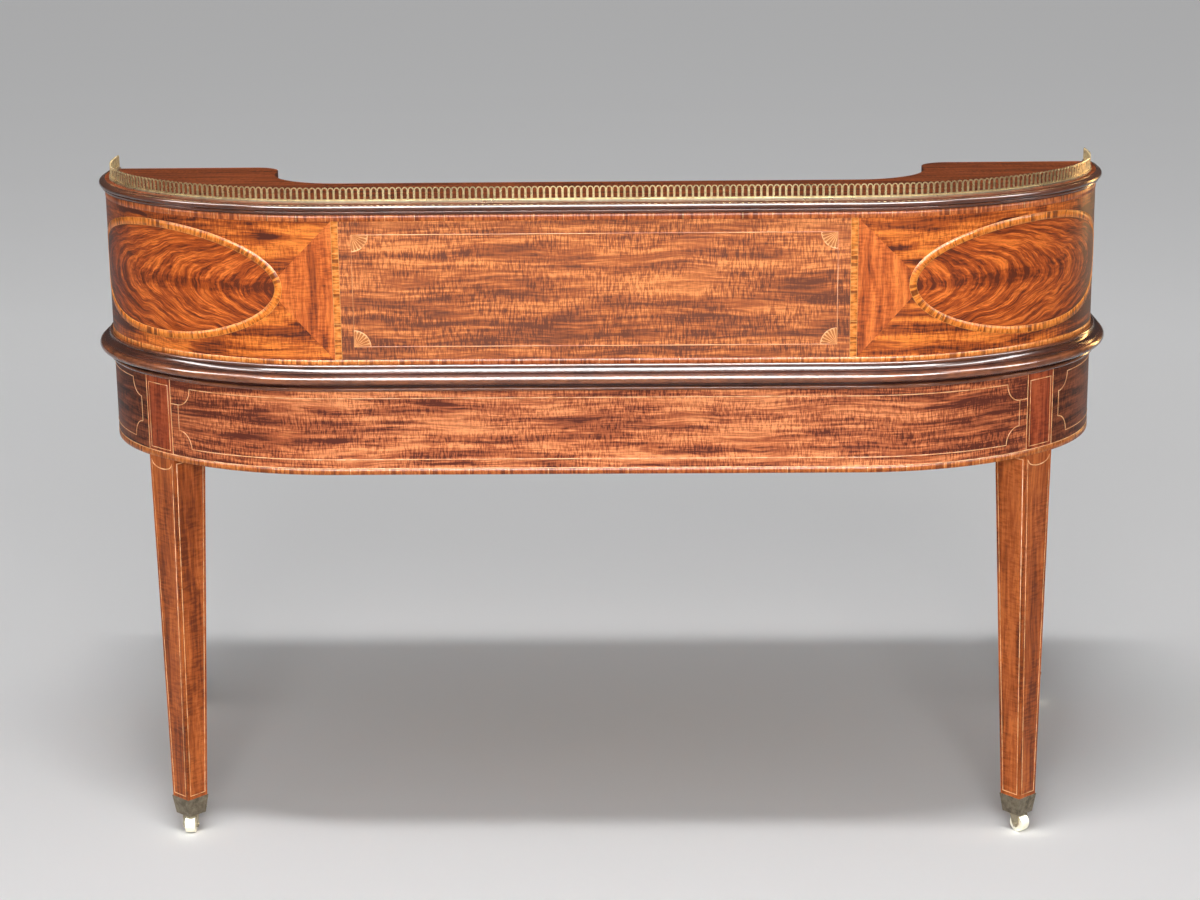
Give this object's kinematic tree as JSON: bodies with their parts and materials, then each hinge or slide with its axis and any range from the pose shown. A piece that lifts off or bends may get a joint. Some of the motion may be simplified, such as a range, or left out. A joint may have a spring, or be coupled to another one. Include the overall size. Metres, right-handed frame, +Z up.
{
  "type": "carlton house desk",
  "caption": "D-shaped mahogany writing desk: U-shaped upper carcase with drawers, cupboards and sloping wings round a leather writing surface, pierced brass gallery, tapered legs on castors.",
  "frame": {"origin": "on the floor under the middle of the desk's box", "axes": "+X to the sitter's right, +Y to the rounded back, +Z up"},
  "size_m": [1.512, 0.732, 0.995],
  "materials": {
    "mahogany": "polished red-brown mahogany",
    "figured_mahogany": "french-polished figured mahogany veneer",
    "dark_mahogany": "dark polished mahogany moulding",
    "drawer_lining": "plain waxed oak",
    "leather": "waxed green leather with tooled border",
    "brass": "polished lacquered brass",
    "aged_brass": "dull aged brass",
    "castor_brass": "worn bright brass"
  },
  "bodies": {
    "desk": {"back_frieze": "figured_mahogany", "bank_shelf": "mahogany", "bank_uprights": "mahogany", "carcase_back": "figured_mahogany", "carcase_end_left": "figured_mahogany", "carcase_end_right": "figured_mahogany", "castor_cups": "aged_brass", "corner_door_pivots": "aged_brass", "drawer_dividers": "mahogany", "drawer_runners": "drawer_lining", "front_leg_left": "mahogany", "front_leg_right": "mahogany", "front_lower_rail": "mahogany", "front_upper_rail": "mahogany", "gallery": "brass", "gallery_rail": "brass", "lid_hinge_pins": "aged_brass", "rear_leg_left": "mahogany", "rear_leg_right": "mahogany", "runner_bearer": "drawer_lining", "side_frieze_left": "figured_mahogany", "side_frieze_right": "figured_mahogany", "top_boards": "mahogany", "top_moulding": "dark_mahogany", "waist_moulding": "dark_mahogany", "wing_bulkheads": "mahogany", "wing_fronts": "mahogany", "wing_inner_walls": "mahogany", "writing_board": "mahogany", "writing_leather": "leather"},
    "drawer_left": {"drawer_front_left": "mahogany", "drawer_box_left": "drawer_lining", "drawer_knobs_left": "brass"},
    "drawer_centre": {"drawer_front_centre": "mahogany", "drawer_box_centre": "drawer_lining", "drawer_knobs_centre": "brass"},
    "drawer_right": {"drawer_front_right": "mahogany", "drawer_box_right": "drawer_lining", "drawer_knobs_right": "brass"},
    "small_drawer_1": {"small_drawer_1": "mahogany", "small_knob_1": "brass"},
    "small_drawer_2": {"small_drawer_2": "mahogany", "small_knob_2": "brass"},
    "small_drawer_3": {"small_drawer_3": "mahogany", "small_knob_3": "brass"},
    "corner_door_right": {"corner_door_right": "mahogany", "corner_door_knob_right": "brass"},
    "corner_door_left": {"corner_door_left": "mahogany", "corner_door_knob_left": "brass"},
    "wing_lid_right": {"wing_lid_right": "mahogany"},
    "wing_lid_left": {"wing_lid_left": "mahogany"},
    "castor_rear_right": {"castor_fork_rear_right": "aged_brass"},
    "wheel_rear_right": {"castor_wheel_rear_right": "castor_brass"},
    "castor_rear_left": {"castor_fork_rear_left": "aged_brass"},
    "wheel_rear_left": {"castor_wheel_rear_left": "castor_brass"},
    "castor_front_right": {"castor_fork_front_right": "aged_brass"},
    "wheel_front_right": {"castor_wheel_front_right": "castor_brass"},
    "castor_front_left": {"castor_fork_front_left": "aged_brass"},
    "wheel_front_left": {"castor_wheel_front_left": "castor_brass"}
  },
  "joints": [
    {"name": "drawer_left_slide", "type": "slide", "parent": "desk", "child": "drawer_left", "axis": [0, -1, 0], "range_m": [0, 0.32]},
    {"name": "drawer_centre_slide", "type": "slide", "parent": "desk", "child": "drawer_centre", "axis": [0, -1, 0], "range_m": [0, 0.32]},
    {"name": "drawer_right_slide", "type": "slide", "parent": "desk", "child": "drawer_right", "axis": [0, -1, 0], "range_m": [0, 0.32]},
    {"name": "small_drawer_1_slide", "type": "slide", "parent": "desk", "child": "small_drawer_1", "axis": [0, -1, 0], "range_m": [0, 0.125]},
    {"name": "small_drawer_2_slide", "type": "slide", "parent": "desk", "child": "small_drawer_2", "axis": [0, -1, 0], "range_m": [0, 0.125]},
    {"name": "small_drawer_3_slide", "type": "slide", "parent": "desk", "child": "small_drawer_3", "axis": [0, -1, 0], "range_m": [0, 0.125]},
    {"name": "corner_door_right_hinge", "type": "hinge", "parent": "desk", "child": "corner_door_right", "pos_m": [0.49179, 0.061, 0.7475], "axis": [0, 0, 1], "range_deg": [0, 90]},
    {"name": "corner_door_left_hinge", "type": "hinge", "parent": "desk", "child": "corner_door_left", "pos_m": [-0.49179, 0.061, 0.7475], "axis": [0, 0, -1], "range_deg": [0, 90]},
    {"name": "wing_lid_right_hinge", "type": "hinge", "parent": "desk", "child": "wing_lid_right", "pos_m": [0.6105, -0.01752, 0.94584], "axis": [-1, 0, 0], "range_deg": [0, 110]},
    {"name": "wing_lid_left_hinge", "type": "hinge", "parent": "desk", "child": "wing_lid_left", "pos_m": [-0.6105, -0.01752, 0.94584], "axis": [-1, 0, 0], "range_deg": [0, 110]},
    {"name": "castor_rear_right_swivel", "type": "hinge", "parent": "desk", "child": "castor_rear_right", "pos_m": [0.62283, 0.22888, 0.03], "axis": [0, 0, 1], "continuous": true},
    {"name": "wheel_rear_right_roll", "type": "hinge", "parent": "castor_rear_right", "child": "wheel_rear_right", "pos_m": [0.62283, 0.23388, 0.013], "axis": [-1, 0, 0], "continuous": true},
    {"name": "castor_rear_left_swivel", "type": "hinge", "parent": "desk", "child": "castor_rear_left", "pos_m": [-0.62283, 0.22888, 0.03], "axis": [0, 0, 1], "continuous": true},
    {"name": "wheel_rear_left_roll", "type": "hinge", "parent": "castor_rear_left", "child": "wheel_rear_left", "pos_m": [-0.62617, 0.2326, 0.013], "axis": [-0.7431, -0.6691, 0], "continuous": true},
    {"name": "castor_front_right_swivel", "type": "hinge", "parent": "desk", "child": "castor_front_right", "pos_m": [0.717, -0.327, 0.03], "axis": [0, 0, 1], "continuous": true},
    {"name": "wheel_front_right_roll", "type": "hinge", "parent": "castor_front_right", "child": "wheel_front_right", "pos_m": [0.71935, -0.33142, 0.013], "axis": [0.8829, 0.4695, 0], "continuous": true},
    {"name": "castor_front_left_swivel", "type": "hinge", "parent": "desk", "child": "castor_front_left", "pos_m": [-0.717, -0.327, 0.03], "axis": [0, 0, 1], "continuous": true},
    {"name": "wheel_front_left_roll", "type": "hinge", "parent": "castor_front_left", "child": "wheel_front_left", "pos_m": [-0.72083, -0.33021, 0.013], "axis": [0.6428, -0.766, 0], "continuous": true}
  ]
}
